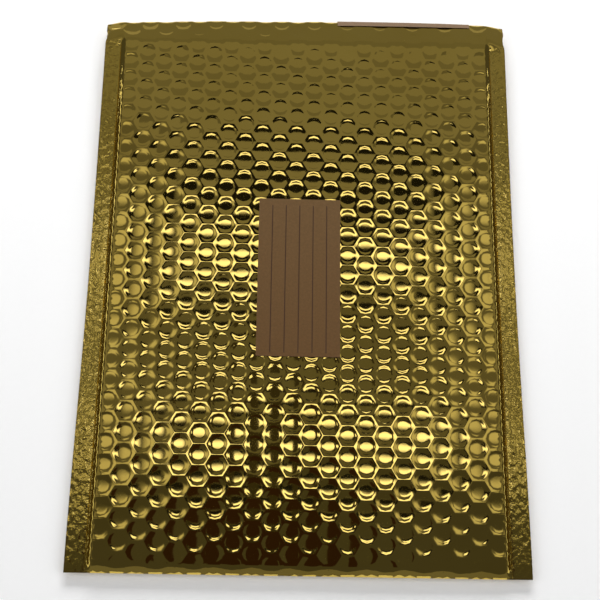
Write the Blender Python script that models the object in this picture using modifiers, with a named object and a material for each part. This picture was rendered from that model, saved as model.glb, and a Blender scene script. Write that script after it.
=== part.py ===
"""A padded envelope of metallised bubble film, lying face up with its flap folded under.

One sheet of bubble laminate makes the front, the bottom fold, the back and the flap. Its outer film
is drawn in over each air bubble, so that it shows a honeycomb of shallow dimples. The sheet is modelled
flat, with its dimples, and then folded by a function that takes each point of the flat sheet to its
place. Along the sides the front's and the back's inner films are one weld, and a real pocket stays
between them, with its mouth under the flap. The paper label, the sticker on the flap, the adhesive
strip and its release liner are laid on the folded sheet by the same function.

Units are metres. +X is to the right, +Y runs from the bottom fold to the mouth, +Z is up.
"""

import math

import bmesh
import bpy
from mathutils import Matrix, Vector

# Envelope, measured on the outside
ENVELOPE_WIDTH = 0.260
POCKET_LENGTH = 0.336
FLAP_LENGTH = 0.060
SEAL_WIDTH = 0.010

# Bubble laminate
BUBBLE_PITCH = 0.0124
DIMPLE_DEPTH = 0.0006
LAMINATE_THICKNESS = 0.0042
SEALED_FILM_THICKNESS = 0.0006
SEAL_STEP_WIDTH = 0.0005

# Pocket between front and back
POCKET_GAP = 0.0008
POCKET_TAPER = 0.003
FOLD_DEPTH = 0.0022

# How the envelope lies: the folded flap lifts the mouth off the table
RISE_LENGTH = 0.110
MOUTH_LIFT = 0.008
CREASE_LENGTH = 0.004
FLAP_SLOPE = math.radians(17.0)
FLAP_TOP_LENGTH = 0.018

# Share of the laminate's thickness that is left one bubble line away from the bottom fold
LOFT_BESIDE_FOLD = 0.75

# Paper and adhesive, each laid a clearance away from what carries it
CLEARANCE = 0.0003
LABEL_WIDTH = 0.050
LABEL_LENGTH = 0.100
LABEL_THICKNESS = 0.00025
LABEL_OFFSET_X = -0.0028
LABEL_TO_BOTTOM = 0.1270
STICKER_WIDTH = 0.087
STICKER_LENGTH = 0.022
STICKER_THICKNESS = 0.0002
STICKER_OFFSET_X = 0.064
STICKER_TO_MOUTH = 0.019
ADHESIVE_LENGTH = 0.010
ADHESIVE_THICKNESS = 0.0002
ADHESIVE_TO_FLAP_EDGE = 0.006
LINER_MARGIN = 0.002
LINER_INSET = 0.001
LINER_THICKNESS = 0.0002

MERGE_DISTANCE = 0.0001
SHEET_STEP = 0.0015

# Derived sizes
HALF_WIDTH = ENVELOPE_WIDTH / 2
POCKET_HALF_WIDTH = HALF_WIDTH - SEAL_WIDTH
LINER_WIDTH = 2 * (POCKET_HALF_WIDTH - POCKET_TAPER - LINER_INSET)
CELL_RADIUS = BUBBLE_PITCH / math.sqrt(3)
COLUMN_PITCH = BUBBLE_PITCH * math.sqrt(3) / 2
LINE_PITCH = BUBBLE_PITCH / 2
COLUMNS = 1 + math.floor((2 * POCKET_HALF_WIDTH - 2 * CELL_RADIUS) / COLUMN_PITCH)
FLAP_EDGE = POCKET_LENGTH + FLAP_LENGTH
MID_HEIGHT = LAMINATE_THICKNESS + POCKET_GAP / 2
FACE_HEIGHT = MID_HEIGHT + POCKET_GAP / 2 + LAMINATE_THICKNESS

# Derived heights of the outer film along the flap, which lies on the table with its sticker
MOUTH_SLOPE = 2 * MOUTH_LIFT / RISE_LENGTH
MOUTH_FACE_HEIGHT = FACE_HEIGHT + RISE_LENGTH * (1 - math.cos(MOUTH_SLOPE)) / MOUTH_SLOPE
CREASE_TURN = MOUTH_SLOPE + FLAP_SLOPE
CREASE_DROP = CREASE_LENGTH * (math.cos(MOUTH_SLOPE) - math.cos(FLAP_SLOPE)) / CREASE_TURN
NOSE_FACE_HEIGHT = MOUTH_FACE_HEIGHT - CREASE_DROP - FLAP_TOP_LENGTH * math.sin(FLAP_SLOPE)
LEG_FACE_HEIGHT = CLEARANCE + STICKER_THICKNESS
NOSE_RADIUS = (NOSE_FACE_HEIGHT - LEG_FACE_HEIGHT) / (1 + math.cos(FLAP_SLOPE))
NOSE_TURN = math.pi - FLAP_SLOPE
NOSE_LENGTH = NOSE_RADIUS * NOSE_TURN
NOSE_START = POCKET_LENGTH + CREASE_LENGTH + FLAP_TOP_LENGTH
NOSE_END = NOSE_START + NOSE_LENGTH

# The run of the sheet seen from the side, as (length, turn) pieces from the bottom fold to the flap
SHEET_RUN = (
    (POCKET_LENGTH - RISE_LENGTH, 0.0),
    (RISE_LENGTH, MOUTH_SLOPE),
    (CREASE_LENGTH, -CREASE_TURN),
    (FLAP_TOP_LENGTH, 0.0),
    (NOSE_LENGTH, -NOSE_TURN),
    (FLAP_EDGE - NOSE_END, 0.0),
)


def clear_scene():
    """Remove every object of the starting scene."""
    for item in list(bpy.data.objects):
        bpy.data.objects.remove(item, do_unlink=True)


def make_collection(name):
    """Make a collection under the scene's own."""
    collection = bpy.data.collections.new(name)
    bpy.context.scene.collection.children.link(collection)
    return collection


def make_material(name, colour, roughness, metallic=0.0):
    """Make a Principled material from a linear colour."""
    material = bpy.data.materials.new(name)
    material.use_nodes = True
    shader = material.node_tree.nodes["Principled BSDF"]
    shader.inputs["Base Color"].default_value = (*colour, 1.0)
    shader.inputs["Roughness"].default_value = roughness
    shader.inputs["Metallic"].default_value = metallic
    return material


def add_object(name, bm, material, collection):
    """Turn a bmesh into an object of the collection."""
    mesh = bpy.data.meshes.new(name)
    bm.to_mesh(mesh)
    bm.free()
    mesh.materials.append(material)
    item = bpy.data.objects.new(name, mesh)
    collection.objects.link(item)
    return item


def follow_run(distance):
    """Give the place and heading of the front's outer face at a distance from the bottom fold."""
    y, z, heading = 0.0, FACE_HEIGHT, 0.0
    left = distance
    for length, turn in SHEET_RUN:
        step = min(left, length)
        if turn:
            radius = length / turn
            swept = heading + step / radius
            y += radius * (math.sin(swept) - math.sin(heading))
            z += radius * (math.cos(heading) - math.cos(swept))
            heading = swept
        else:
            y += step * math.cos(heading)
            z += step * math.sin(heading)
        left -= step
        if left <= 0.0:
            return y, z, heading
    return y + left * math.cos(heading), z + left * math.sin(heading), heading


def panel_point(x, along, out):
    """Place a point of the front, flap or back, out metres above its outer face.

    Near the bottom fold the laminate is pressed towards the middle of the envelope.
    """
    y, z, heading = follow_run(abs(along))
    if abs(along) < LINE_PITCH * 3 / 2:
        out = (out + MID_HEIGHT) * LOFT_BESIDE_FOLD - MID_HEIGHT
    if along < 0.0:
        out = -(2 * MID_HEIGHT + out)
    return Vector((x, y - out * math.sin(heading), z + out * math.cos(heading)))


def folded_point(x, along, out):
    """Take a point of the flat sheet to its place on the folded envelope.

    along is measured from the bottom fold, positive on the front and flap, negative on the back.
    """
    share = abs(along) / LINE_PITCH
    if share >= 1.0:
        return panel_point(x, along, out)
    on_fold = Vector((x, -out * FOLD_DEPTH / LAMINATE_THICKNESS, MID_HEIGHT))
    beside = panel_point(x, math.copysign(LINE_PITCH, along), out)
    return on_fold.lerp(beside, share)


def side_edges(bm, side):
    """Give the open edges on one long side of the flat sheet."""
    ends = (-POCKET_LENGTH, FLAP_EDGE)
    chosen = []
    for edge in bm.edges:
        a, b = (v.co for v in edge.verts)
        on_end = any(abs(a.y - end) + abs(b.y - end) < MERGE_DISTANCE for end in ends)
        if edge.is_boundary and not on_end and side * (a.x + b.x) > 0.0:
            chosen.append(edge)
    return chosen


def widen_side(bm, edges, x, out):
    """Extrude the edges of one side to a straight line at x and out, and give the new edges."""
    made = bmesh.ops.extrude_edge_only(bm, edges=edges)["geom"]
    for item in made:
        if isinstance(item, bmesh.types.BMVert):
            item.co.x = x
            item.co.z = out
    lines = [item for item in made if isinstance(item, bmesh.types.BMEdge)]
    return [edge for edge in lines if edge.is_boundary and all(v in made for v in edge.verts)]


def dimple_field(bm):
    """Set six-sided dimples side by side over the flat sheet, and cut it at its ends and at the mouth."""
    first = math.floor(-POCKET_LENGTH / BUBBLE_PITCH) - 1
    last = math.ceil(FLAP_EDGE / BUBBLE_PITCH) + 1
    for column in range(COLUMNS):
        x = (column - (COLUMNS - 1) / 2) * COLUMN_PITCH
        stagger = 0.5 if column % 2 else 0.0
        for row in range(first, last + 1):
            spot = Matrix.Translation((x, (row + stagger) * BUBBLE_PITCH, -DIMPLE_DEPTH / 2))
            bmesh.ops.create_cone(
                bm,
                cap_ends=False,
                segments=6,
                radius1=0.0,
                radius2=CELL_RADIUS,
                depth=DIMPLE_DEPTH,
                matrix=spot @ Matrix.Rotation(math.pi / 2, 4, "Z"),
            )
    bmesh.ops.remove_doubles(bm, verts=bm.verts[:], dist=MERGE_DISTANCE)
    for line, facing, cut_off in (
        (-POCKET_LENGTH, -1.0, True),
        (POCKET_LENGTH, 1.0, False),
        (FLAP_EDGE, 1.0, True),
    ):
        bmesh.ops.bisect_plane(
            bm,
            geom=bm.verts[:] + bm.edges[:] + bm.faces[:],
            plane_co=(0.0, line, 0.0),
            plane_no=(0.0, facing, 0.0),
            clear_outer=cut_off,
        )


def open_weld(bm):
    """Take away the inner faces of the side seals, where front and back are one after the folding."""
    welded = []
    for face in bm.faces:
        places = [vert.co for vert in face.verts]
        in_middle = all(abs(place.z + MID_HEIGHT) < MERGE_DISTANCE for place in places)
        if in_middle and all(abs(place.y) < POCKET_LENGTH + MERGE_DISTANCE for place in places):
            welded.append(face)
    bmesh.ops.delete(bm, geom=welded, context="FACES")


def make_sheet(material, collection):
    """Make the whole laminate sheet flat, close it into a solid, fold it and weld its sides."""
    bm = bmesh.new()
    dimple_field(bm)
    seal_line = POCKET_HALF_WIDTH + SEAL_STEP_WIDTH
    inner_edges = []
    for side in (-1.0, 1.0):
        edges = side_edges(bm, side)
        edges = widen_side(bm, edges, side * seal_line, SEALED_FILM_THICKNESS - MID_HEIGHT)
        edges = widen_side(bm, edges, side * HALF_WIDTH, SEALED_FILM_THICKNESS - MID_HEIGHT)
        edges = widen_side(bm, edges, side * HALF_WIDTH, -MID_HEIGHT)
        edges = widen_side(bm, edges, side * POCKET_HALF_WIDTH, -MID_HEIGHT)
        inner_edges += widen_side(bm, edges, side * (POCKET_HALF_WIDTH - POCKET_TAPER), -LAMINATE_THICKNESS)
    bmesh.ops.bridge_loops(bm, edges=inner_edges)
    open_edges = [edge for edge in bm.edges if edge.is_boundary]
    bmesh.ops.holes_fill(bm, edges=open_edges, sides=0)
    open_weld(bm)
    for vert in bm.verts:
        vert.co = folded_point(*vert.co)
    bmesh.ops.remove_doubles(bm, verts=bm.verts[:], dist=MERGE_DISTANCE)
    bmesh.ops.recalc_face_normals(bm, faces=bm.faces[:])
    bmesh.ops.triangulate(bm, faces=[face for face in bm.faces if len(face.verts) > 4])
    return add_object("mailer_body", bm, material, collection)


def lay_sheet(name, centre_x, width, start, length, out, thickness, material, collection):
    """Lay a thin sheet on the envelope, out metres from its face, thickened away from the laminate."""
    steps = max(1, math.ceil(length / SHEET_STEP))
    bm = bmesh.new()
    place = Matrix.Translation((centre_x, start + length / 2, 0.0))
    size = Matrix.Diagonal((width / 2, length / 2, 1.0, 1.0))
    bmesh.ops.create_grid(bm, x_segments=1, y_segments=steps, size=1.0, matrix=place @ size)
    for vert in bm.verts:
        x, along, _ = vert.co
        vert.co = folded_point(x, along, out)
    if out < 0.0:
        bmesh.ops.reverse_faces(bm, faces=bm.faces[:])
    sheet = add_object(name, bm, material, collection)
    wall = sheet.modifiers.new("thickness", "SOLIDIFY")
    wall.thickness = thickness
    wall.offset = 1.0
    return sheet


def make_label(material, collection):
    """Lay the address label on the face of the envelope."""
    return lay_sheet(
        "address_label", LABEL_OFFSET_X, LABEL_WIDTH, LABEL_TO_BOTTOM, LABEL_LENGTH,
        CLEARANCE, LABEL_THICKNESS, material, collection,
    )


def make_sticker(material, collection):
    """Lay the paper sticker round the nose of the folded flap."""
    start = POCKET_LENGTH + STICKER_TO_MOUTH
    return lay_sheet(
        "flap_sticker", STICKER_OFFSET_X, STICKER_WIDTH, start, STICKER_LENGTH,
        CLEARANCE, STICKER_THICKNESS, material, collection,
    )


def make_adhesive(material, collection):
    """Lay the adhesive strip on the inner film of the flap."""
    start = FLAP_EDGE - ADHESIVE_TO_FLAP_EDGE - ADHESIVE_LENGTH
    out = -LAMINATE_THICKNESS - CLEARANCE
    return lay_sheet(
        "adhesive_strip", 0.0, LINER_WIDTH - 2 * LINER_MARGIN, start, ADHESIVE_LENGTH,
        out, ADHESIVE_THICKNESS, material, collection,
    )


def make_liner(material, collection):
    """Lay the release liner over the adhesive strip, a little wider than it all round."""
    start = FLAP_EDGE - ADHESIVE_TO_FLAP_EDGE - ADHESIVE_LENGTH - LINER_MARGIN
    out = -LAMINATE_THICKNESS - 2 * CLEARANCE - ADHESIVE_THICKNESS
    return lay_sheet(
        "release_liner", 0.0, LINER_WIDTH, start, ADHESIVE_LENGTH + 2 * LINER_MARGIN,
        out, LINER_THICKNESS, material, collection,
    )


def centre_on_table(pieces):
    """Move every mesh along Y so that the middle of the envelope's underside is the origin."""
    places = [vert.co.y for piece in pieces for vert in piece.data.vertices]
    middle = (min(places) + max(places)) / 2
    for piece in pieces:
        piece.data.transform(Matrix.Translation((0.0, -middle, 0.0)))


def main():
    """Build the envelope."""
    clear_scene()
    envelope = make_collection("padded_envelope")
    gold_film = make_material("gold_film", (0.62, 0.44, 0.13), 0.16, metallic=1.0)
    brown_paper = make_material("brown_paper", (0.16, 0.09, 0.035), 0.75)
    mauve_paper = make_material("mauve_paper", (0.20, 0.12, 0.08), 0.70)
    clear_glue = make_material("clear_glue", (0.75, 0.73, 0.66), 0.30)
    silicone_paper = make_material("silicone_paper", (0.80, 0.80, 0.78), 0.45)
    body = make_sheet(gold_film, envelope)
    papers = [
        make_label(brown_paper, envelope),
        make_sticker(mauve_paper, envelope),
        make_adhesive(clear_glue, envelope),
        make_liner(silicone_paper, envelope),
    ]
    centre_on_table([body, *papers])


main()
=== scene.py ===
"""Looks of a padded envelope of gold metallised bubble film, lying face up on a white table.

The CAD model gives the frame: where the envelope lies, how it is folded and what is laid on it. Here
the folded laminate is modelled again at the scale of its bubbles, and every surface gets its finish.
Lengths are metres. +X is to the right, +Y runs from the bottom fold to the mouth, +Z is up.
"""

import logging
import math
from dataclasses import dataclass
from enum import Enum

import bmesh
import bpy
import numpy as np
from mathutils import Matrix, Vector


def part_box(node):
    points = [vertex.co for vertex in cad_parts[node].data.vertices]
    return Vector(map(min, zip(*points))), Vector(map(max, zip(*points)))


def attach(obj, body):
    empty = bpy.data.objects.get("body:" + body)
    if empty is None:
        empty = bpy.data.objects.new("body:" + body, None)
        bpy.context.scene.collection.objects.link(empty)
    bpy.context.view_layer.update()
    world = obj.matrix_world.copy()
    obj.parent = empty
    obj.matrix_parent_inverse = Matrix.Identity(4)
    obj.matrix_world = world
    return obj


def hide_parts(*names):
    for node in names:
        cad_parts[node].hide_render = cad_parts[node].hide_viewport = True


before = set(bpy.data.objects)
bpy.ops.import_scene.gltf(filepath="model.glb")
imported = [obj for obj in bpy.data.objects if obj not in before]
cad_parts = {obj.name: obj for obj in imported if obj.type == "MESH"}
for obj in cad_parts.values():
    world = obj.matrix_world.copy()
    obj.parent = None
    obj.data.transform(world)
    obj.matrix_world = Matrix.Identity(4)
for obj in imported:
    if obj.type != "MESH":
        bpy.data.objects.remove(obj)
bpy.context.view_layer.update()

LOG = logging.getLogger("padded_envelope")
MM = 0.001
MERGE_DISTANCE = 0.00002
WHITE = "#FFFFFF"

# Noise textures seldom leave this range, so patterns are stretched from it
NOISE_LOW, NOISE_HIGH = 0.3, 0.7

# The photograph shows the label a little higher and longer than the CAD node
LABEL_SHIFT, LABEL_STRETCH = 0.5 * MM, 0.9 * MM
LABEL_LIFT, LABEL_THICKNESS = 0.3 * MM, 0.22 * MM
STICKER_TO_MOUTH, STICKER_LENGTH = 16 * MM, 22 * MM
STICKER_LIFT, STICKER_THICKNESS = 0.25 * MM, 0.2 * MM


class Panel(Enum):
    """The two panels of the folded sheet, with the sign of their distance from the bottom fold."""

    FRONT = 1
    BACK = -1


def linear_colour(code: str) -> tuple[float, float, float, float]:
    """Turn an sRGB hex code into a linear colour.

    Args:
        code: Six hex digits after a hash sign.

    Returns:
        Red, green, blue and an alpha of one.
    """
    shares = [int(code[place:place + 2], 16) / 255 for place in (1, 3, 5)]
    linear = [s / 12.92 if s <= 0.04045 else ((s + 0.055) / 1.055) ** 2.4 for s in shares]
    return (*linear, 1.0)


def smooth_step(value: np.ndarray, start: float, end: float) -> np.ndarray:
    """Rise smoothly from 0 at start to 1 at end.

    Args:
        value: Where to read the step.
        start: The value up to which the step is 0.
        end: The value from which the step is 1.

    Returns:
        The height of the step for each value.
    """
    share = np.clip((value - start) / (end - start), 0.0, 1.0)
    return share * share * (3.0 - 2.0 * share)


def add_node(
    tree: bpy.types.NodeTree,
    kind: str,
    settings: dict[str, object] | None = None,
    inputs: dict[str | int, object] | None = None,
) -> bpy.types.Node:
    """Add a node, set its properties, and set or link its inputs.

    Args:
        tree: The node tree that gets the node.
        kind: The node's type name.
        settings: Properties of the node.
        inputs: A value, or the output socket to link, for each input by name or number.

    Returns:
        The new node.
    """
    node = tree.nodes.new(kind)
    for name, value in (settings or {}).items():
        setattr(node, name, value)
    for name, value in (inputs or {}).items():
        if isinstance(value, bpy.types.NodeSocket):
            tree.links.new(value, node.inputs[name])
        else:
            node.inputs[name].default_value = value
    return node


def start_material(name: str) -> tuple[bpy.types.Material, bpy.types.NodeTree, bpy.types.Node]:
    """Make a material with only a Principled shader and its output.

    Args:
        name: The material's name.

    Returns:
        The material, its node tree and its shader.
    """
    material = bpy.data.materials.new(name)
    material.use_nodes = True
    tree = material.node_tree
    return material, tree, tree.nodes["Principled BSDF"]


def add_piece(name: str, bm: bmesh.types.BMesh, material: bpy.types.Material) -> bpy.types.Object:
    """Turn a bmesh into a smooth-shaded object at the origin.

    Args:
        name: The object's name.
        bm: The mesh, which is freed.
        material: The object's material.

    Returns:
        The new object.
    """
    mesh = bpy.data.meshes.new(name)
    bm.to_mesh(mesh)
    bm.free()
    mesh.materials.append(material)
    mesh.shade_smooth()
    piece = bpy.data.objects.new(name, mesh)
    bpy.context.scene.collection.objects.link(piece)
    return piece


def report(piece: bpy.types.Object) -> None:
    """Log a piece's name and its triangles."""
    triangles = sum(len(polygon.vertices) - 2 for polygon in piece.data.polygons)
    LOG.info("%s: %d triangles", piece.name, triangles)


def cut_sheet(
    bm: bmesh.types.BMesh, axis: int, place: float, facing: float = 1.0, trim: bool = False,
) -> None:
    """Cut a flat sheet along a straight line.

    Args:
        bm: The flat sheet.
        axis: 0 for a line at one X, 1 for a line at one Y.
        place: Where the line is.
        facing: The side, 1 or -1, that a trimming cut takes away.
        trim: Take the sheet beyond the line away.
    """
    normal = Vector((0.0, 0.0, 0.0))
    normal[axis] = facing
    bmesh.ops.bisect_plane(
        bm,
        geom=bm.verts[:] + bm.edges[:] + bm.faces[:],
        dist=MERGE_DISTANCE,
        plane_co=normal * place * facing,
        plane_no=normal,
        clear_outer=trim,
    )


@dataclass(frozen=True)
class Ripple:
    """A smooth random surface, made of sine waves with seeded directions and phases."""

    wavelength: float
    height: float
    seed: int
    lean: float = math.pi
    waves: int = 12

    def at(self, u: np.ndarray, v: np.ndarray) -> np.ndarray:
        """Give the surface's height.

        Args:
            u: Places across the sheet.
            v: Places along the sheet.

        Returns:
            The height at each place.
        """
        rng = np.random.default_rng(self.seed)
        total = np.zeros_like(u)
        for _ in range(self.waves):
            turn = rng.uniform(-self.lean, self.lean)
            number = math.tau / (self.wavelength * rng.uniform(0.65, 1.6))
            phase = rng.uniform(0.0, math.tau)
            total += np.sin(number * (u * math.cos(turn) + v * math.sin(turn)) + phase)
        return self.height * total / math.sqrt(self.waves)


@dataclass(frozen=True)
class BubbleLattice:
    """The honeycomb of bubbles, with the shallow dish that the outer film makes over each one.

    A dish is flat up to flat_radius, steepens to wall_slope at wall_radius and turns over to the web
    at dish_radius. Each of the rings, in which a cell is cut, has the distance of its points
    towards the hexagon's sides and towards its corners.
    """

    pitch: float = 12.4 * MM
    columns: int = 26
    dish_radius: float = 6.05 * MM
    wall_radius: float = 5.3 * MM
    flat_radius: float = 1.6 * MM
    hexagon_start: float = 5.55 * MM
    wall_slope: float = math.radians(9.6)
    steepening: float = 2.0
    depth_spread: float = 0.14
    depth_table: int = 80
    seed: int = 7
    rings: tuple[tuple[float, float], ...] = (
        (6.05 * MM, 6.98 * MM), (5.7 * MM, 6.1 * MM), (5.3 * MM, 5.35 * MM),
        (4.7 * MM, 4.7 * MM), (3.9 * MM, 3.9 * MM), (2.8 * MM, 2.8 * MM),
    )

    @property
    def column_pitch(self) -> float:
        """Distance between columns."""
        return self.pitch * math.sqrt(3) / 2

    @property
    def corner_radius(self) -> float:
        """Distance from a cell's middle to its corners."""
        return self.pitch / math.sqrt(3)

    def cell(self) -> bpy.types.Mesh:
        """Make two neighbouring flat cells, six-sided outside and round inside.

        Returns:
            The mesh of the two cells.
        """
        bm = bmesh.new()
        bmesh.ops.create_circle(bm, cap_ends=True, cap_tris=False, segments=12, radius=self.corner_radius)
        middle = bm.faces[:][0]
        outline = (self.pitch / 2, self.corner_radius)
        for place, (at_side, at_corner) in enumerate((outline, *self.rings)):
            if place:
                bmesh.ops.inset_individual(bm, faces=[middle], thickness=self.pitch / 60)
            for vert in middle.verts:
                step = round(math.atan2(vert.co.y, vert.co.x) / (math.pi / 6))
                reach = Vector((at_side if step % 2 else at_corner, 0.0, 0.0))
                vert.co = Matrix.Rotation(step * math.pi / 6, 3, "Z") @ reach
        bmesh.ops.poke(bm, faces=[middle])
        twin = bmesh.ops.duplicate(bm, geom=bm.verts[:] + bm.edges[:] + bm.faces[:])["geom"]
        twin_verts = [item for item in twin if isinstance(item, bmesh.types.BMVert)]
        bmesh.ops.translate(bm, verts=twin_verts, vec=(self.column_pitch, self.pitch / 2, 0.0))
        mesh = bpy.data.meshes.new("cells")
        bm.to_mesh(mesh)
        bm.free()
        return mesh

    def field(self, first_row: int, last_row: int) -> bmesh.types.BMesh:
        """Set the cells side by side in a flat field, as long as the rows asked for.

        Args:
            first_row: The lowest row number; row 0 has its bubbles on the bottom fold.
            last_row: The highest row number.

        Returns:
            The flat field, welded.
        """
        cells = bpy.data.objects.new("cells", self.cell())
        bpy.context.scene.collection.objects.link(cells)
        steps = (
            (self.columns // 2, (2 * self.column_pitch, 0.0, 0.0)),
            (last_row - first_row + 1, (0.0, self.pitch, 0.0)),
        )
        for count, step in steps:
            row = cells.modifiers.new("row", "ARRAY")
            row.count = count
            row.use_relative_offset = False
            row.use_constant_offset = True
            row.constant_offset_displace = step
        evaluated = cells.evaluated_get(bpy.context.evaluated_depsgraph_get())
        mesh = bpy.data.meshes.new_from_object(evaluated)
        bm = bmesh.new()
        bm.from_mesh(mesh)
        bpy.data.objects.remove(cells)
        bpy.data.meshes.remove(mesh)
        left = -(self.columns - 1) / 2 * self.column_pitch
        bmesh.ops.translate(bm, verts=bm.verts[:], vec=(left, first_row * self.pitch, 0.0))
        bmesh.ops.remove_doubles(bm, verts=bm.verts[:], dist=MERGE_DISTANCE)
        return bm

    def nearest(self, u: np.ndarray, v: np.ndarray) -> tuple[np.ndarray, np.ndarray, np.ndarray]:
        """Find the cell that each place belongs to.

        Args:
            u: Places across the sheet.
            v: Places along the sheet.

        Returns:
            The distance from the cell's middle, which turns from round to six-sided towards the
            webs, the cell's column and its row.
        """
        base = np.floor(u / self.column_pitch + (self.columns - 1) / 2)
        found = []
        for column in (base, base + 1):
            stagger = np.where(column % 2 == 0, 0.0, 0.5)
            row = np.round(v / self.pitch - stagger)
            across = u - (column - (self.columns - 1) / 2) * self.column_pitch
            along = v - (row + stagger) * self.pitch
            found.append((np.hypot(across, along), column, row, np.abs(across), np.abs(along)))
        first, second = found
        nearer = first[0] <= second[0]
        radius, column, row, across, along = (np.where(nearer, a, b) for a, b in zip(first, second))
        hexagon = np.maximum(along, across * math.sqrt(3) / 2 + along / 2)
        radius = radius + (hexagon - radius) * smooth_step(radius, self.hexagon_start, self.dish_radius)
        return radius, column, row

    def dish(self, radius: np.ndarray) -> np.ndarray:
        """Give the height of the outer film over a bubble, 0 on the webs and negative inside.

        The middle is flat, the film then steepens up to the wall, and it turns over a round rim.

        Args:
            radius: Distances from the middle of the cell.

        Returns:
            The height at each distance.
        """
        rim = self.wall_slope * (self.dish_radius - self.wall_radius) / 2
        reach = self.wall_radius - self.flat_radius
        bowl = self.wall_slope * reach / (self.steepening + 1)
        share = np.clip((radius - self.flat_radius) / reach, 0.0, 1.0)
        inside = -rim - bowl * (1.0 - share ** (self.steepening + 1))
        outward = np.clip((self.dish_radius - radius) / (self.dish_radius - self.wall_radius), 0.0, 1.0)
        return np.where(radius < self.wall_radius, inside, -rim * outward ** 2)

    def height(self, u: np.ndarray, v: np.ndarray) -> np.ndarray:
        """Give the height of the outer film, with every bubble a little different.

        Args:
            u: Places across the sheet.
            v: Places along the sheet.

        Returns:
            The height over the webs at each place.
        """
        radius, column, row = self.nearest(u, v)
        rng = np.random.default_rng(self.seed)
        size = self.depth_table
        spread = rng.uniform(1.0 - self.depth_spread, 1.0 + self.depth_spread, (size, size))
        columns = (column.astype(int) + 2) % size
        rows = (row.astype(int) + size // 2) % size
        return self.dish(radius) * spread[columns, rows]


@dataclass(frozen=True)
class SheetRun:
    """The run of the folded sheet seen from the side, from the bottom fold to the flap's free edge."""

    pocket_length: float = 336 * MM
    flap_length: float = 60 * MM
    laminate: float = 4.2 * MM
    half_height: float = 4.6 * MM
    rise_length: float = 186 * MM
    mouth_lift: float = 4.15 * MM
    crease_length: float = 4 * MM
    flap_slope: float = math.radians(17)
    flap_top_length: float = 15 * MM
    leg_clearance: float = 0.5 * MM
    fold_depth: float = 2.2 * MM

    @property
    def flap_edge(self) -> float:
        """Distance of the flap's free edge from the bottom fold."""
        return self.pocket_length + self.flap_length

    @property
    def nose_start(self) -> float:
        """Distance from the bottom fold at which the flap starts to turn under."""
        return self.pocket_length + self.crease_length + self.flap_top_length

    def stretches(self) -> list[tuple[float, float]]:
        """Work out the straight and curved stretches of the run.

        Returns:
            The length and the turn of each stretch, from the bottom fold to the flap's free edge.
        """
        slope = 2 * self.mouth_lift / self.rise_length
        mouth = 2 * self.half_height + self.rise_length * (1 - math.cos(slope)) / slope
        turn = slope + self.flap_slope
        crease_drop = self.crease_length * (math.cos(slope) - math.cos(self.flap_slope)) / turn
        nose = mouth - crease_drop - self.flap_top_length * math.sin(self.flap_slope)
        radius = (nose - self.leg_clearance) / (1 + math.cos(self.flap_slope))
        nose_turn = math.pi - self.flap_slope
        return [
            (self.pocket_length - self.rise_length, 0.0),
            (self.rise_length, slope),
            (self.crease_length, -turn),
            (self.flap_top_length, 0.0),
            (radius * nose_turn, -nose_turn),
            (self.flap_edge - self.nose_start - radius * nose_turn, 0.0),
        ]

    def follow(self, distance: np.ndarray) -> tuple[np.ndarray, np.ndarray, np.ndarray]:
        """Follow the face of the front from the bottom fold.

        Args:
            distance: Distances along the sheet.

        Returns:
            The run's Y, its height and its heading at each distance.
        """
        y = np.zeros_like(distance)
        z = np.full_like(distance, 2 * self.half_height)
        heading = np.zeros_like(distance)
        left = distance.copy()
        for length, turn in self.stretches():
            step = np.clip(left, 0.0, length)
            if turn:
                radius = length / turn
                swept = heading + step / radius
                y += radius * (np.sin(swept) - np.sin(heading))
                z += radius * (np.cos(heading) - np.cos(swept))
                heading = swept
            else:
                y += step * np.cos(heading)
                z += step * np.sin(heading)
            left = np.maximum(left - step, 0.0)
        return y, z, heading


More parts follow.
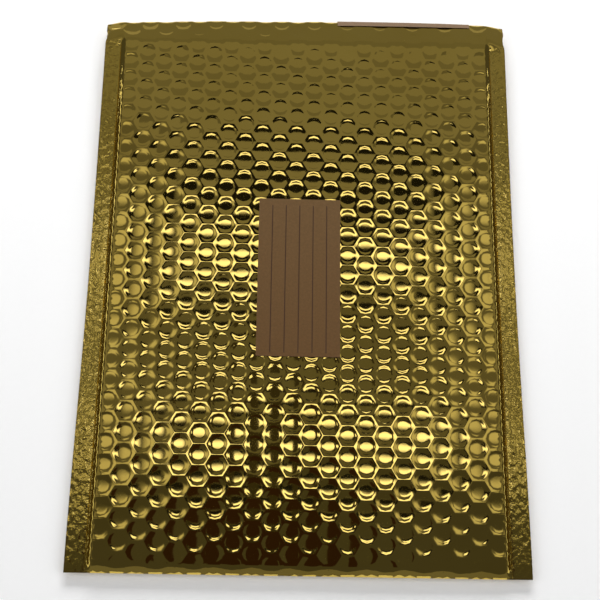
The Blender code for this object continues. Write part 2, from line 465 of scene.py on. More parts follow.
@dataclass(frozen=True)
class Envelope:
    """The folded sheet: how loft, seals and folds shape it, and where its points lie."""

    run: SheetRun = SheetRun()
    lattice: BubbleLattice = BubbleLattice()
    half_width: float = 130 * MM
    seal_line: float = 120 * MM
    seal_half_height: float = 0.45 * MM
    side_reach: float = 4.2 * MM
    fold_reach: float = 10 * MM
    fold_pull: float = 1.2 * MM
    mouth_pinch: float = 0.4
    nose_pinch: float = 0.3
    corner_droop: float = 2.2 * MM
    flap_skew: float = 6.0 * MM
    notch_depth: float = 1.3 * MM
    notch_place: float = 342 * MM
    bottom_spread: float = 1.6 * MM
    spread_length: float = 190 * MM
    groove_depth: float = 0.35 * MM
    groove_half_width: float = 0.5 * MM
    table_gap: float = 0.05 * MM
    crease_stretch: float = 0.7
    crease_spread: float = 6 * MM
    mouth_deepening: float = 0.3
    flap_edge_pinch: float = 0.55
    fold_line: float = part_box("mailer_body")[0].y

    def bubbles_left(self, u: np.ndarray, v: np.ndarray) -> np.ndarray:
        """Give the share of a dish's depth that folds, crease and seals leave.

        Args:
            u: Places across the sheet.
            v: Distances from the bottom fold.

        Returns:
            1 where the bubbles are whole, 0 where the film is stretched smooth, and more than 1 near
            the mouth, where slack film sinks deeper.
        """
        fold = smooth_step(v, 2 * MM, 5 * MM)
        from_crease = (v - self.run.pocket_length - 2 * MM) / self.crease_spread
        crease = 1.0 - self.crease_stretch * np.exp(-(from_crease ** 2))
        mouth = 1.0 + self.mouth_deepening * smooth_step(v, 284 * MM, 314 * MM)
        on_flap = smooth_step(v, self.run.pocket_length, self.run.pocket_length + 8 * MM)
        seal = 1.0 - smooth_step(np.abs(u), self.seal_line - 1.8 * MM, self.seal_line)
        return fold * crease * mouth * np.maximum(seal, on_flap)

    def loft(self, u: np.ndarray, v: np.ndarray) -> np.ndarray:
        """Give the share of half the envelope's height that the bottom fold and the sides leave.

        Args:
            u: Places across the sheet.
            v: Distances from the bottom fold.

        Returns:
            1 in the middle, and the seal's share of it in the seals.
        """
        flat = self.seal_half_height / self.run.half_height
        beside = smooth_step(np.abs(u), self.seal_line - self.side_reach, self.seal_line + 0.2 * MM)
        side = 1.0 - (1.0 - flat) * beside
        on_flap = smooth_step(v, self.run.pocket_length - 3 * MM, self.run.pocket_length + 8 * MM)
        at_side = smooth_step(np.abs(u), self.half_width - 9 * MM, self.half_width)
        pinched = 1.0 - self.flap_edge_pinch * at_side
        near = np.clip(1.0 - v / self.fold_reach, 0.0, 1.0)
        nose = self.run.nose_start
        mouth = smooth_step(v, self.run.pocket_length - 60 * MM, self.run.pocket_length)
        mouth = mouth - smooth_step(v, nose + 2 * MM, nose + 14 * MM)
        bulk = (1.0 - near ** 2.4) * (1.0 - self.mouth_pinch * mouth)
        return (side + (pinched - side) * on_flap) * bulk

    def place(
        self, panel: Panel, u: np.ndarray, v: np.ndarray, out: np.ndarray, relief: np.ndarray,
    ) -> np.ndarray:
        """Take points of the flat sheet to their places on the folded envelope.

        Args:
            panel: The front, with its flap, or the back.
            u: Places across the sheet.
            v: Distances from the bottom fold.
            out: Distances out of the face; the middle of the envelope is half its height below it.
            relief: Heights of dishes and wrinkles over the face, which loft leaves as they are.

        Returns:
            One row of X, Y and Z for each point.
        """
        y, z, heading = self.run.follow(v)
        half = self.run.half_height
        near = np.clip(1.0 - v / self.fold_reach, 0.0, 1.0)
        nose = self.run.nose_start
        pinched = smooth_step(v, nose - 8 * MM, nose) - smooth_step(v, nose + 11 * MM, nose + 18 * MM)
        out = out * (1.0 - self.nose_pinch * pinched)
        off = (out + half) * self.loft(u, v) + relief * smooth_step(v, 0.0, 3 * MM)
        off = np.where(near < 1.0, off, 0.0)
        y = y + self.fold_pull * near ** 2 - out * self.run.fold_depth / self.run.laminate * near ** 3
        shift = panel.value * off - half
        y = y - shift * np.sin(heading)
        z = z + shift * np.cos(heading)
        edge = np.abs(u) / self.half_width
        flap = smooth_step(v, self.run.pocket_length + 4 * MM, self.run.pocket_length + 24 * MM)
        y = y - self.corner_droop * edge ** 2.5 * flap
        y = y + self.flap_skew * (0.5 + u / (2 * self.half_width)) * smooth_step(v, 322 * MM, 352 * MM)
        spread = self.bottom_spread * (1.0 - smooth_step(v, 0.0, self.spread_length))
        spread = spread * smooth_step(np.abs(u), self.seal_line - 2 * MM, self.half_width)
        notch = np.exp(-(((v - self.notch_place) / (3.5 * MM)) ** 2))
        x = u * (1.0 - self.notch_depth / self.half_width * notch * smooth_step(edge, 0.88, 1.0))
        x = x + np.sign(u) * spread
        return np.stack([x, y + self.fold_line, np.maximum(z, self.table_gap)], axis=1)


@dataclass(frozen=True)
class MetallisedFilm:
    """Vacuum-metallised polyester film with a gold lacquer: a sharp mirror with fine creases.

    Aluminium is vapour-deposited on the film and lacquered gold, so it mirrors the room in yellow.
    The lacquer's tone drifts over patches a few bubbles wide, and handling leaves a faint haze of
    half a bubble and creases about 2 mm apart. The seals are crimped between hot jaws with a tooth
    of about 2 mm, which makes hammered foil of the mirror there.
    """

    name: str = "gold_metallised_film"
    colour: str = "#EDCE67"
    deep_colour: str = "#E0BF58"
    roughness: float = 0.045
    seal_roughness: float = 0.12
    patch_size: float = 45 * MM
    haze_size: float = 6 * MM
    crease_spacing: float = 2.2 * MM
    crease_height: float = 0.005 * MM
    crimp_spacing: float = 2.2 * MM
    crimp_height: float = 0.3 * MM
    crimp_stretch: float = 0.7

    def make(self, envelope: Envelope) -> bpy.types.Material:
        """Make the material.

        Args:
            envelope: Its seals are hazy and crimped.

        Returns:
            The material.
        """
        material, tree, shader = start_material(self.name)
        place = add_node(tree, "ShaderNodeTexCoord").outputs["Object"]
        parts = add_node(tree, "ShaderNodeSeparateXYZ", inputs={"Vector": place})
        across = add_node(tree, "ShaderNodeMath", {"operation": "ABSOLUTE"}, {0: parts.outputs["X"]})
        seal = add_node(
            tree, "ShaderNodeMapRange", {"interpolation_type": "SMOOTHSTEP"},
            {"Value": across.outputs[0], "From Min": envelope.seal_line - 3 * MM,
             "From Max": envelope.seal_line},
        )
        before_mouth = add_node(
            tree, "ShaderNodeMapRange", {"interpolation_type": "SMOOTHSTEP"},
            {"Value": parts.outputs["Y"],
             "From Min": envelope.fold_line + envelope.run.pocket_length + 4 * MM,
             "From Max": envelope.fold_line + envelope.run.pocket_length},
        )
        on_seal = add_node(
            tree, "ShaderNodeMath", {"operation": "MULTIPLY"},
            {0: seal.outputs[0], 1: before_mouth.outputs[0]},
        )
        patches = add_node(
            tree, "ShaderNodeTexNoise", None,
            {"Vector": place, "Scale": 1 / self.patch_size, "Detail": 3.0, "Roughness": 0.55},
        )
        colour = add_node(
            tree, "ShaderNodeMix", {"data_type": "RGBA"},
            {"Factor": patches.outputs["Fac"], 6: linear_colour(self.colour),
             7: linear_colour(self.deep_colour)},
        )
        haze = add_node(
            tree, "ShaderNodeTexNoise", None,
            {"Vector": place, "Scale": 1 / self.haze_size, "Detail": 4.0, "Roughness": 0.6},
        )
        smooth = add_node(
            tree, "ShaderNodeMapRange", None,
            {"Value": haze.outputs["Fac"], "To Min": self.roughness * 0.7,
             "To Max": self.roughness * 1.5},
        )
        roughness = add_node(
            tree, "ShaderNodeMix", {"data_type": "FLOAT"},
            {"Factor": on_seal.outputs[0], 2: smooth.outputs[0], 3: self.seal_roughness},
        )
        creases = add_node(
            tree, "ShaderNodeTexNoise", None,
            {"Vector": place, "Scale": 1 / self.crease_spacing, "Detail": 5.0, "Roughness": 0.6},
        )
        stretched = add_node(
            tree, "ShaderNodeMapping", None,
            {"Vector": place, "Scale": (1.0, self.crimp_stretch, 1.0)},
        )
        crimps = add_node(
            tree, "ShaderNodeTexNoise", None,
            {"Vector": stretched.outputs[0], "Scale": 1 / self.crimp_spacing, "Detail": 2.0,
             "Roughness": 0.5},
        )
        crimp_height = add_node(
            tree, "ShaderNodeMath", {"operation": "MULTIPLY"},
            {0: crimps.outputs["Fac"], 1: on_seal.outputs[0]},
        )
        fine = add_node(
            tree, "ShaderNodeBump", None,
            {"Height": creases.outputs["Fac"], "Distance": self.crease_height, "Strength": 1.0},
        )
        bump = add_node(
            tree, "ShaderNodeBump", None,
            {"Height": crimp_height.outputs[0], "Distance": self.crimp_height, "Strength": 1.0,
             "Normal": fine.outputs[0]},
        )
        shader.inputs["Metallic"].default_value = 1.0
        tree.links.new(colour.outputs[2], shader.inputs["Base Color"])
        tree.links.new(roughness.outputs[0], shader.inputs["Roughness"])
        tree.links.new(bump.outputs[0], shader.inputs["Normal"])
        return material


@dataclass(frozen=True)
class BubbleSheet:
    """One panel of the sheet as a closed padded shell: outer film with bubbles, inner film, edges.

    The film is finer in the seals and between fine_from and fine_to, where it bends round the nose.
    """

    name: str
    panel: Panel
    length: float
    envelope: Envelope
    sway: Ripple = Ripple(wavelength=95 * MM, height=0.13 * MM, seed=3)
    wobble: Ripple = Ripple(wavelength=26 * MM, height=0.014 * MM, seed=5)
    seal_wrinkles: Ripple = Ripple(wavelength=3.4 * MM, height=0.055 * MM, seed=11)
    seal_streaks: Ripple = Ripple(wavelength=2.6 * MM, height=0.03 * MM, seed=13, lean=0.35)
    fold_marks: Ripple = Ripple(wavelength=7 * MM, height=0.10 * MM, seed=17, lean=0.5)
    pocket_taper: float = 3 * MM
    groove_cuts: tuple[float, ...] = (-3.2 * MM, -2.2 * MM, -1.2 * MM, -0.5 * MM, 0.0, 0.5 * MM)
    fine_from: float = 352 * MM
    fine_to: float = 384 * MM

    def flat_film(self) -> bmesh.types.BMesh:
        """Cut the outer film of this panel out of the field of bubbles.

        Returns:
            The flat film, cut to size and finer where it bends or wrinkles.
        """
        envelope = self.envelope
        bm = envelope.lattice.field(-1, math.ceil(self.length / envelope.lattice.pitch))
        cut_sheet(bm, 1, 0.0, -1.0, trim=True)
        cut_sheet(bm, 1, self.length, trim=True)
        for side in (-1.0, 1.0):
            cut_sheet(bm, 0, side * envelope.half_width, side, trim=True)
            for shift in self.groove_cuts:
                cut_sheet(bm, 0, side * (envelope.seal_line + shift), side)
        seal_start = envelope.seal_line + envelope.groove_half_width - MERGE_DISTANCE
        fine = []
        for edge in bm.edges:
            places = [vert.co for vert in edge.verts]
            in_seal = all(abs(place.x) > seal_start for place in places)
            in_nose = all(self.fine_from < place.y < self.fine_to for place in places)
            if in_nose or (in_seal and self.panel is Panel.FRONT):
                fine.append(edge)
        bmesh.ops.subdivide_edges(bm, edges=fine, cuts=1, use_grid_fill=True)
        return bm

    def close(self, bm: bmesh.types.BMesh) -> bmesh.types.BMLayerItem:
        """Add the panel's edges and inner film, so that the flat shell is closed.

        Args:
            bm: The flat outer film, at Z 0.

        Returns:
            The layer that marks each vertex of the outer film with 1.
        """
        outer = bm.verts.layers.int.new("outer")
        for vert in bm.verts:
            vert[outer] = 1
        envelope = self.envelope
        half, laminate = envelope.run.half_height, envelope.run.laminate
        inner_edges = []
        for side in (-1.0, 1.0):
            edges = [
                edge for edge in bm.edges
                if edge.is_boundary and all(
                    abs(vert.co.x - side * envelope.half_width) < MERGE_DISTANCE for vert in edge.verts
                )
            ]
            steps = (
                (envelope.half_width, -half),
                (envelope.seal_line, -half),
                (envelope.seal_line - self.pocket_taper, -laminate),
            )
            for x, out in steps:
                made = bmesh.ops.extrude_edge_only(bm, edges=edges)["geom"]
                fresh = {item for item in made if isinstance(item, bmesh.types.BMVert)}
                for vert in fresh:
                    vert[outer] = 0
                    vert.co.x = side * x
                    vert.co.z = out
                edges = [
                    item for item in made
                    if isinstance(item, bmesh.types.BMEdge)
                    and item.is_boundary and set(item.verts) <= fresh
                ]
            inner_edges += edges
        bmesh.ops.bridge_loops(bm, edges=inner_edges)
        bmesh.ops.holes_fill(bm, edges=[edge for edge in bm.edges if edge.is_boundary], sides=0)
        long_faces = [face for face in bm.faces if len(face.verts) > 4]
        bmesh.ops.triangulate(bm, faces=long_faces)
        return outer

    def film_height(self, u: np.ndarray, v: np.ndarray) -> np.ndarray:
        """Give the height of the outer film's dishes, waves and wrinkles.

        Args:
            u: Places across the sheet.
            v: Distances from the bottom fold.

        Returns:
            The height over the plain sheet.
        """
        envelope = self.envelope
        dishes = envelope.lattice.height(u, v * self.panel.value) * envelope.bubbles_left(u, v)
        from_groove = (np.abs(u) - envelope.seal_line) / envelope.groove_half_width
        on_flap = smooth_step(v, envelope.run.pocket_length - 2 * MM, envelope.run.pocket_length + 4 * MM)
        groove = envelope.groove_depth * np.clip(1.0 - np.abs(from_groove), 0.0, 1.0) * (1.0 - on_flap)
        in_seal = smooth_step(np.abs(u), envelope.seal_line + 0.4 * MM, envelope.seal_line + 2 * MM)
        in_seal *= 1.0 - on_flap
        waves = self.sway.at(u, v) + self.wobble.at(u, v)
        wrinkles = self.seal_wrinkles.at(u, v * 0.7) + self.seal_streaks.at(u, v * 0.3)
        marks = self.fold_marks.at(u, v) * (1.0 - smooth_step(v, 3 * MM, 11 * MM))
        return dishes + waves - groove + wrinkles * in_seal + marks * (1.0 - in_seal)

    def build(self, material: bpy.types.Material) -> bpy.types.Object:
        """Build the panel and put it in its place.

        Args:
            material: The film's finish.

        Returns:
            The panel.
        """
        bm = self.flat_film()
        outer = self.close(bm)
        flat = np.array([vert.co[:] for vert in bm.verts])
        u, v, out = flat[:, 0], flat[:, 1], flat[:, 2]
        on_face = np.array([vert[outer] for vert in bm.verts], dtype=bool)
        relief = np.where(on_face, self.film_height(u, v), 0.0)
        places = self.envelope.place(self.panel, u, v, out, relief)
        for vert, place in zip(bm.verts, places.tolist()):
            vert.co = place
        bmesh.ops.recalc_face_normals(bm, faces=bm.faces[:])
        bm.verts.layers.int.remove(outer)
        piece = add_piece(self.name, bm, material)
        piece.data.set_sharp_from_angle(angle=math.radians(60))
        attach(piece, "root")
        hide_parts("mailer_body")
        return piece


@dataclass(frozen=True)
class KraftLabel:
    """Brown uncoated label paper with fine fibres and five thin printed rules.

    Unbleached kraft pulp, rolled but not coated: matt, and mottled by fibres up to 1.4 mm long. The
    ink of the rules soaks in, so its edges are soft. The paper is a little darker towards the bottom.
    """

    name: str = "ruled_kraft_label"
    colour: str = "#684F31"
    low_colour: str = "#63482A"
    rule_colour: str = "#3A2820"
    roughness: float = 0.72
    rule_width: float = 0.5 * MM
    rule_margin: float = 2.8 * MM
    rules: int = 5
    fibre_length: float = 1.4 * MM
    fibre_height: float = 0.02 * MM
    darkest: float = 0.86
    lightest: float = 1.12

    def make(self, low: Vector, high: Vector) -> bpy.types.Material:
        """Make the material.

        Args:
            low: The label's lowest corner.
            high: The label's highest corner.

        Returns:
            The material.
        """
        material, tree, shader = start_material(self.name)
        place = add_node(tree, "ShaderNodeTexCoord").outputs["Object"]
        parts = add_node(tree, "ShaderNodeSeparateXYZ", inputs={"Vector": place})
        spacing = (high.x - low.x) / (self.rules + 1)
        steps = add_node(
            tree, "ShaderNodeMapRange", None,
            {"Value": parts.outputs["X"], "From Min": low.x, "From Max": high.x,
             "To Min": 0.0, "To Max": high.x - low.x},
        )
        from_rule = add_node(
            tree, "ShaderNodeMath", {"operation": "WRAP"},
            {0: steps.outputs[0], 1: spacing / 2, 2: -spacing / 2},
        )
        distance = add_node(tree, "ShaderNodeMath", {"operation": "ABSOLUTE"}, {0: from_rule.outputs[0]})
        ink_edge = add_node(
            tree, "ShaderNodeMapRange", None,
            {"Value": distance.outputs[0], "From Min": self.rule_width * 0.35,
             "From Max": self.rule_width * 0.7, "To Min": 1.0, "To Max": 0.0},
        )
        ends = []
        for axis, test, edge in (
            ("X", "GREATER_THAN", low.x + spacing / 2), ("X", "LESS_THAN", high.x - spacing / 2),
            ("Y", "GREATER_THAN", low.y + self.rule_margin),
            ("Y", "LESS_THAN", high.y - self.rule_margin),
        ):
            ends.append(add_node(
                tree, "ShaderNodeMath", {"operation": test}, {0: parts.outputs[axis], 1: edge},
            ))
        ink = ink_edge
        for end in ends:
            ink = add_node(
                tree, "ShaderNodeMath", {"operation": "MULTIPLY"}, {0: ink.outputs[0], 1: end.outputs[0]},
            )
        down = add_node(
            tree, "ShaderNodeMapRange", None,
            {"Value": parts.outputs["Y"], "From Min": high.y, "From Max": low.y},
        )
        paper = add_node(
            tree, "ShaderNodeMix", {"data_type": "RGBA"},
            {"Factor": down.outputs[0], 6: linear_colour(self.colour),
             7: linear_colour(self.low_colour)},
        )
        mottle = add_node(
            tree, "ShaderNodeTexNoise", None,
            {"Vector": place, "Scale": 1 / self.fibre_length, "Detail": 6.0, "Roughness": 0.7},
        )
        shade = add_node(
            tree, "ShaderNodeMapRange", None,
            {"Value": mottle.outputs["Fac"], "From Min": NOISE_LOW, "From Max": NOISE_HIGH,
             "To Min": self.darkest, "To Max": self.lightest},
        )
        toned = add_node(
            tree, "ShaderNodeMix", {"data_type": "RGBA", "blend_type": "MULTIPLY"},
            {"Factor": 1.0, 6: paper.outputs[2], 7: shade.outputs[0]},
        )
        printed = add_node(
            tree, "ShaderNodeMix", {"data_type": "RGBA"},
            {"Factor": ink.outputs[0], 6: toned.outputs[2], 7: linear_colour(self.rule_colour)},
        )
        bump = add_node(
            tree, "ShaderNodeBump", None,
            {"Height": mottle.outputs["Fac"], "Distance": self.fibre_height, "Strength": 1.0},
        )
        tree.links.new(printed.outputs[2], shader.inputs["Base Color"])
        tree.links.new(bump.outputs[0], shader.inputs["Normal"])
        shader.inputs["Roughness"].default_value = self.roughness
        return material


@dataclass(frozen=True)
class PlainPaper:
    """Uncoated or siliconised paper: matt, and its fibres, about 1 mm long, just show as mottling."""

    name: str
    colour: str
    roughness: float
    fibre_length: float = 1.1 * MM
    mottling: float = 0.12
    tooth: float = 0.015 * MM

    def make(self) -> bpy.types.Material:
        """Make the material.

        Returns:
            The material.
        """
        material, tree, shader = start_material(self.name)
        place = add_node(tree, "ShaderNodeTexCoord").outputs["Object"]
        mottle = add_node(
            tree, "ShaderNodeTexNoise", None,
            {"Vector": place, "Scale": 1 / self.fibre_length, "Detail": 6.0, "Roughness": 0.7},
        )
        shade = add_node(
            tree, "ShaderNodeMapRange", None,
            {"Value": mottle.outputs["Fac"], "From Min": NOISE_LOW, "From Max": NOISE_HIGH,
             "To Min": 1.0 - self.mottling, "To Max": 1.0 + self.mottling},
        )
        toned = add_node(
            tree, "ShaderNodeMix", {"data_type": "RGBA", "blend_type": "MULTIPLY"},
            {"Factor": 1.0, 6: linear_colour(self.colour), 7: shade.outputs[0]},
        )
        bump = add_node(
            tree, "ShaderNodeBump", None,
            {"Height": mottle.outputs["Fac"], "Distance": self.tooth, "Strength": 1.0},
        )
        tree.links.new(toned.outputs[2], shader.inputs["Base Color"])
        tree.links.new(bump.outputs[0], shader.inputs["Normal"])
        shader.inputs["Roughness"].default_value = self.roughness
        return material


@dataclass(frozen=True)
class HotMelt:
    """Clear hot-melt adhesive, an EVA copolymer laid on molten: milky, glossy, in waves of 4 mm."""

    name: str = "hot_melt_adhesive"
    colour: str = "#E8E4D4"
    roughness: float = 0.22
    ior: float = 1.48
    unevenness: float = 4 * MM
    height: float = 0.05 * MM

    def make(self) -> bpy.types.Material:
        """Make the material.

        Returns:
            The material.
        """
        material, tree, shader = start_material(self.name)
        place = add_node(tree, "ShaderNodeTexCoord").outputs["Object"]
        waves = add_node(
            tree, "ShaderNodeTexNoise", None,
            {"Vector": place, "Scale": 1 / self.unevenness, "Detail": 2.0},
        )
        bump = add_node(
            tree, "ShaderNodeBump", None,
            {"Height": waves.outputs["Fac"], "Distance": self.height, "Strength": 1.0},
        )
        tree.links.new(bump.outputs[0], shader.inputs["Normal"])
        shader.inputs["Base Color"].default_value = linear_colour(self.colour)
        shader.inputs["Roughness"].default_value = self.roughness
        shader.inputs["IOR"].default_value = self.ior
        return material


@dataclass(frozen=True)
class LaidPaper:
    """A thin paper laid on the sheet, which prints through where the bubbles' webs press."""

    name: str
    node: str
    slot: str
    envelope: Envelope
    centre: float
    width: float
    start: float
    length: float
    above: float
    thickness: float
    step: float = 1 * MM
    imprint: float = 0.22

    def build(self, material: bpy.types.Material) -> bpy.types.Object:
        """Build the paper and lay it on the sheet.

        Args:
            material: The paper's finish.

        Returns:
            The paper.
        """
        bm = bmesh.new()
        turn = Matrix.Translation((self.centre, self.start + self.length / 2, 0.0))
        size = Matrix.Diagonal((self.width / 2, self.length / 2, 1.0, 1.0))
        bmesh.ops.create_grid(
            bm,
            x_segments=round(self.width / self.step),
            y_segments=round(self.length / self.step),
            size=1.0,
            matrix=turn @ size,
        )
        bmesh.ops.solidify(bm, geom=bm.faces[:], thickness=-self.thickness)
        flat = np.array([vert.co[:] for vert in bm.verts])
        u, v, out = flat[:, 0], flat[:, 1], flat[:, 2]
        low = out.min()
        relief = out - low + self.above + self.envelope.lattice.height(u, v) * self.imprint
        places = self.envelope.place(Panel.FRONT, u, v, np.zeros_like(out), relief)
        for vert, place in zip(bm.verts, places.tolist()):
            vert.co = place
        bmesh.ops.recalc_face_normals(bm, faces=bm.faces[:])
        piece = add_piece(self.name, bm, material)
        piece.data.set_sharp_from_angle(angle=math.radians(50))
        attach(piece, "root")
        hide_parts(self.node)
        return piece


@dataclass(frozen=True)
class SoftBox:
    """A flat lamp that hangs over the table and faces a point; the film mirrors cards, not lamps."""

    name: str
    place: tuple[float, float, float]
    aim: tuple[float, float, float]
    width: float
    length: float
    radiance: float

    def build(self) -> bpy.types.Object:
        """Build the lamp.

        Returns:
            The lamp.
        """
        lamp = bpy.data.lights.new(self.name, "AREA")
        lamp.shape = "RECTANGLE"
        lamp.size = self.width
        lamp.size_y = self.length
        lamp.energy = self.radiance * math.pi * self.width * self.length
        holder = bpy.data.objects.new(self.name, lamp)
        bpy.context.scene.collection.objects.link(holder)
        holder.location = self.place
        holder.rotation_mode = "QUATERNION"
        facing = Vector(self.aim) - Vector(self.place)
        holder.rotation_quaternion = facing.to_track_quat("-Z", "Y")
        holder.visible_camera = False
        holder.visible_glossy = False
        return holder


@dataclass(frozen=True)
class StudioCard:
    """A flat glowing card that the film mirrors; its light can fade towards its edges.

    The camera doesn't see it and it casts no shadow. Its light reaches matt things if lights_table.
    """

    name: str
    low: tuple[float, float, float]
    high: tuple[float, float, float]
    radiance: float
    tint: str = WHITE
    edge_radiance: float = 0.0
    fade: float = 0.0
    lights_table: bool = True

    def build(self) -> bpy.types.Object:
        """Build the card.

        Returns:
            The card.
        """
        low, high = Vector(self.low), Vector(self.high)
        material = bpy.data.materials.new(self.name)
        material.use_nodes = True
        tree = material.node_tree
        tree.nodes.clear()
        glow = add_node(
            tree, "ShaderNodeEmission", None,
            {"Color": linear_colour(self.tint), "Strength": self.radiance},
        )
        if self.fade:
            place = add_node(tree, "ShaderNodeTexCoord").outputs["Object"]
            parts = add_node(tree, "ShaderNodeSeparateXYZ", inputs={"Vector": place})
            strength = self.radiance - self.edge_radiance
            for axis in (0, 1):
                for edge, way in ((low[axis], 1.0), (high[axis], -1.0)):
                    step = add_node(
                        tree, "ShaderNodeMapRange", {"interpolation_type": "SMOOTHSTEP"},
                        {"Value": parts.outputs[axis], "From Min": edge,
                         "From Max": edge + way * self.fade, "To Max": 1.0},
                    )
                    product = add_node(
                        tree, "ShaderNodeMath", {"operation": "MULTIPLY"},
                        {0: step.outputs[0], 1: strength},
                    )
                    strength = product.outputs[0]
            total = add_node(
                tree, "ShaderNodeMath", {"operation": "ADD"}, {0: strength, 1: self.edge_radiance},
            )
            tree.links.new(total.outputs[0], glow.inputs["Strength"])
        add_node(tree, "ShaderNodeOutputMaterial", None, {"Surface": glow.outputs[0]})
        bm = bmesh.new()
        size = high - low
        middle = Matrix.Translation((low + high) / 2)
        shape = Matrix.Diagonal((max(size.x, MM), max(size.y, MM), max(size.z, MM), 1.0))
        bmesh.ops.create_cube(bm, size=1.0, matrix=middle @ shape)
        card = add_piece(self.name, bm, material)
        card.visible_camera = False
        card.visible_shadow = False
        card.visible_diffuse = self.lights_table
        return card


@dataclass(frozen=True)
class Studio:
    """White table, grey tent, lamps, and the camera at the photograph's viewing angle.

    The table is matt white board with a tooth of 3 mm, coarser than the real one so that it shows.
    """

    table_size: float = 6.0
    table_lift: float = 0.08
    table_dark: float = 0.88
    table_light: float = 0.90
    table_tooth: float = 3 * MM
    world_light: float = 0.6
    camera_place: Vector = Vector((-0.0231, -0.2371, 0.6562))
    camera_right: Vector = Vector((0.9992, 0.0124, 0.0369))
    camera_down: Vector = Vector((0.0236, -0.9469, -0.3205))
    focal_pixels: float = 1136.07
    frame_pixels: float = 600.0
    sensor_width: float = 36.0

    def build_table(self) -> None:
        """Lay the white table top."""
        material, tree, shader = start_material("white_table")
        place = add_node(tree, "ShaderNodeTexCoord").outputs["Object"]
        tooth = add_node(
            tree, "ShaderNodeTexNoise", None,
            {"Vector": place, "Scale": 1 / self.table_tooth, "Detail": 3.0},
        )
        shade = add_node(
            tree, "ShaderNodeMapRange", None,
            {"Value": tooth.outputs["Fac"], "To Min": self.table_dark, "To Max": self.table_light},
        )
        tree.links.new(shade.outputs[0], shader.inputs["Base Color"])
        shader.inputs["Roughness"].default_value = 0.9
        shader.inputs["Specular IOR Level"].default_value = 0.1
        rays = add_node(tree, "ShaderNodeLightPath")
        lift = add_node(
            tree, "ShaderNodeMath", {"operation": "MULTIPLY"},
            {0: rays.outputs["Is Camera Ray"], 1: self.table_lift},
        )
        shader.inputs["Emission Color"].default_value = linear_colour(WHITE)
        tree.links.new(lift.outputs[0], shader.inputs["Emission Strength"])
        bm = bmesh.new()
        bmesh.ops.create_grid(bm, x_segments=4, y_segments=4, size=self.table_size / 2)
        table = add_piece("table_top", bm, material)

    def build_world(self) -> None:
        """Make the world white where the camera, metal and glass look past the table."""
        world = bpy.data.worlds.new("studio")
        world.use_nodes = True
        tree = world.node_tree
        tree.nodes.clear()
        rays = add_node(tree, "ShaderNodeLightPath")
        seen = add_node(
            tree, "ShaderNodeMath", {"operation": "MAXIMUM"},
            {0: rays.outputs["Is Camera Ray"], 1: rays.outputs["Is Glossy Ray"]},
        )
        looked_at = add_node(
            tree, "ShaderNodeMath", {"operation": "MAXIMUM"},
            {0: seen.outputs[0], 1: rays.outputs["Is Transmission Ray"]},
        )
        light = add_node(
            tree, "ShaderNodeMapRange", None,
            {"Value": looked_at.outputs[0], "To Min": self.world_light, "To Max": 1.0},
        )
        sky = add_node(
            tree, "ShaderNodeBackground", None,
            {"Color": linear_colour(WHITE), "Strength": light.outputs[0]},
        )
        add_node(tree, "ShaderNodeOutputWorld", None, {"Surface": sky.outputs[0]})
        bpy.context.scene.world = world

    def lamps(self) -> list[SoftBox]:
        """List the lamps: two strips over the envelope and three soft fills."""
        face = (0.0, 0.0, 0.01)
        return [
            SoftBox("lamp_far", (0.0185, 0.221, 0.60), (0.0185, 0.02, 0.0), 0.337, 0.022, 3.7),
            SoftBox("lamp_near", (0.0185, 0.014, 0.60), (0.0185, -0.1, 0.0), 0.337, 0.022, 3.7),
            SoftBox("fill_back", (0.0, 1.25, 0.75), face, 1.0, 0.5, 13.6),
            SoftBox("fill_left", (-1.2, -0.2, 0.9), face, 0.7, 0.9, 3.6),
            SoftBox("fill_right", (1.2, -0.2, 0.9), face, 0.7, 0.9, 3.6),
        ]

    def tent(self) -> list[StudioCard]:
        """List the grey walls and ceiling that the sloping parts of the film mirror."""
        return [
            StudioCard("tent_top", (-1.6, -1.6, 1.40), (1.6, 1.02, 1.41), 0.215),
            StudioCard("tent_top_far", (-1.6, 1.02, 1.40), (1.6, 1.9, 1.41), 0.155),
            StudioCard("tent_back", (-1.6, 1.9, 0.5), (1.6, 1.91, 1.40), 0.17),
            StudioCard("tent_back_low", (-1.6, 1.9, 0.0), (1.6, 1.91, 0.5), 0.32),
            StudioCard("tent_front", (-1.6, -1.61, 0.0), (1.6, -1.6, 1.40), 0.16),
            StudioCard("tent_left", (-1.61, -1.6, 0.0), (-1.6, 1.9, 1.40), 0.07),
            StudioCard("tent_right", (1.6, -1.6, 0.0), (1.61, 1.9, 1.40), 0.07),
        ]

    def strips(self) -> list[StudioCard]:
        """List the strip lights, their dark hoods and what is between and before them."""
        cards = [
            StudioCard(
                name, (-0.152, near, 0.60), (0.189, far, 0.601), 2.4, "#E4E6FF",
                edge_radiance=0.03, fade=0.03, lights_table=False,
            )
            for name, near, far in (("strip_far", 0.186, 0.256), ("strip_near", -0.021, 0.049))
        ]
        cards.append(StudioCard(
            "camera_arm", (-0.042, -0.06, 0.585), (0.012, 0.10, 0.586), 0.045, "#E8DCC0",
            lights_table=False,
        ))
        for name, near, far, radiance in (
            ("strip_far_hood", 0.165, 0.335, 0.01),
            ("strip_near_hood", -0.045, 0.07, 0.01),
            ("ceiling_mid", 0.07, 0.165, 0.115),
        ):
            cards.append(StudioCard(name, (-0.15, near, 0.62), (0.187, far, 0.621), radiance))
        return cards

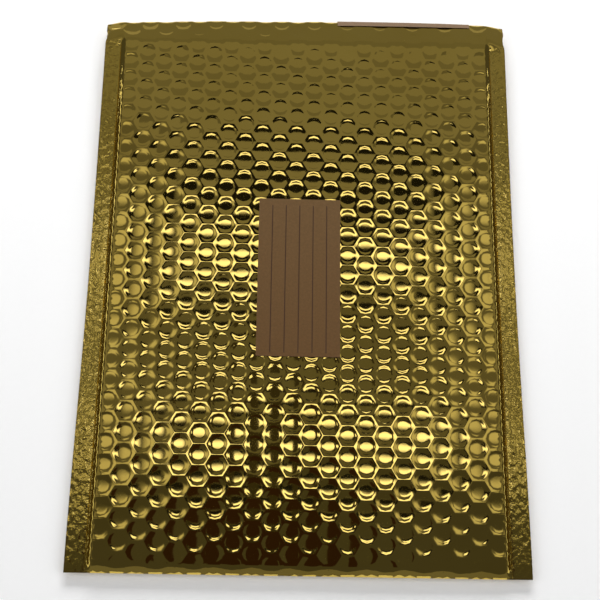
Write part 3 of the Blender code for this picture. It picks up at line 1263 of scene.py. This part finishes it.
    def surroundings(self) -> list[StudioCard]:
        """List the dim ceiling, the shade by the camera, and the glows beside the strips."""
        cards = [
            StudioCard(
                "ceiling_near", (-0.70, -1.20, 0.63), (0.74, -0.045, 0.631), 0.06,
                lights_table=False,
            ),
            StudioCard("camera_shade", (-0.11, -0.50, 0.62), (0.05, -0.05, 0.621), 0.026, "#FFBB95"),
        ]
        for name, left, right in (("side_left", -0.36, -0.152), ("side_right", 0.189, 0.397)):
            cards.append(StudioCard(
                name, (left, -0.06, 0.63), (right, 0.40, 0.631), 0.12, lights_table=False,
            ))
        for zone, near, far, fade in (("far", 0.12, 0.32, 0.06), ("near", -0.05, 0.08, 0.045)):
            for side, left, right in (("left", -0.30, -0.14), ("right", 0.177, 0.337)):
                cards.append(StudioCard(
                    f"glow_{zone}_{side}", (left, near, 0.62), (right, far, 0.621), 0.6,
                    edge_radiance=0.12, fade=fade, lights_table=False,
                ))
        return cards

    def build_lights(self) -> None:
        """Hang the lamps and the cards that the film mirrors."""
        for light in (*self.lamps(), *self.tent(), *self.strips(), *self.surroundings()):
            light.build()

    def build_camera(self) -> None:
        """Set the camera where the photograph was taken from."""
        camera = bpy.data.cameras.new("camera")
        camera.sensor_width = self.sensor_width
        camera.lens = self.focal_pixels / self.frame_pixels * self.sensor_width
        holder = bpy.data.objects.new("camera", camera)
        bpy.context.scene.collection.objects.link(holder)
        up = -self.camera_down.normalized()
        back = self.camera_right.cross(up).normalized()
        right = up.cross(back)
        turn = Matrix((right, up, back)).transposed().to_4x4()
        holder.matrix_world = Matrix.Translation(self.camera_place) @ turn
        bpy.context.scene.camera = holder

    def build(self) -> None:
        """Build the whole studio."""
        self.build_table()
        self.build_world()
        self.build_lights()
        self.build_camera()
        bpy.context.scene.view_settings.view_transform = "Standard"


def dress_node(node: str, material: bpy.types.Material) -> None:
    """Give a CAD node that stays in view its finish.

    Args:
        node: The node's name.
        material: The finish.
    """
    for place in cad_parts[node].material_slots:
        place.material = material


def main() -> None:
    """Build the envelope and its studio, and report each piece."""
    logging.basicConfig(level=logging.INFO, format="%(name)s: %(message)s")
    envelope = Envelope()
    film = MetallisedFilm().make(envelope)
    run = envelope.run
    pieces = [
        BubbleSheet("front_and_flap", Panel.FRONT, run.flap_edge, envelope).build(film),
        BubbleSheet("back_panel", Panel.BACK, run.pocket_length, envelope).build(film),
    ]
    low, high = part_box("address_label")
    label_finish = KraftLabel().make(low, high)
    pieces.append(LaidPaper(
        "paper_label", "address_label", "brown_paper", envelope, (low.x + high.x) / 2, high.x - low.x,
        low.y - envelope.fold_line + LABEL_SHIFT, high.y - low.y + LABEL_STRETCH, LABEL_LIFT,
        LABEL_THICKNESS,
    ).build(label_finish))
    low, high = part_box("flap_sticker")
    sticker_finish = PlainPaper("mauve_sticker_paper", "#7A644E", 0.68)
    pieces.append(LaidPaper(
        "paper_sticker", "flap_sticker", "mauve_paper", envelope, (low.x + high.x) / 2, high.x - low.x,
        run.pocket_length + STICKER_TO_MOUTH, STICKER_LENGTH, STICKER_LIFT, STICKER_THICKNESS,
        step=0.5 * MM, imprint=0.1,
    ).build(sticker_finish.make()))
    dress_node("adhesive_strip", HotMelt().make())
    liner_finish = PlainPaper("silicone_release_paper", "#EFEFEA", 0.42, mottling=0.04)
    dress_node("release_liner", liner_finish.make())
    for piece in pieces:
        report(piece)
    Studio().build()


if __name__ == "__main__":
    main()
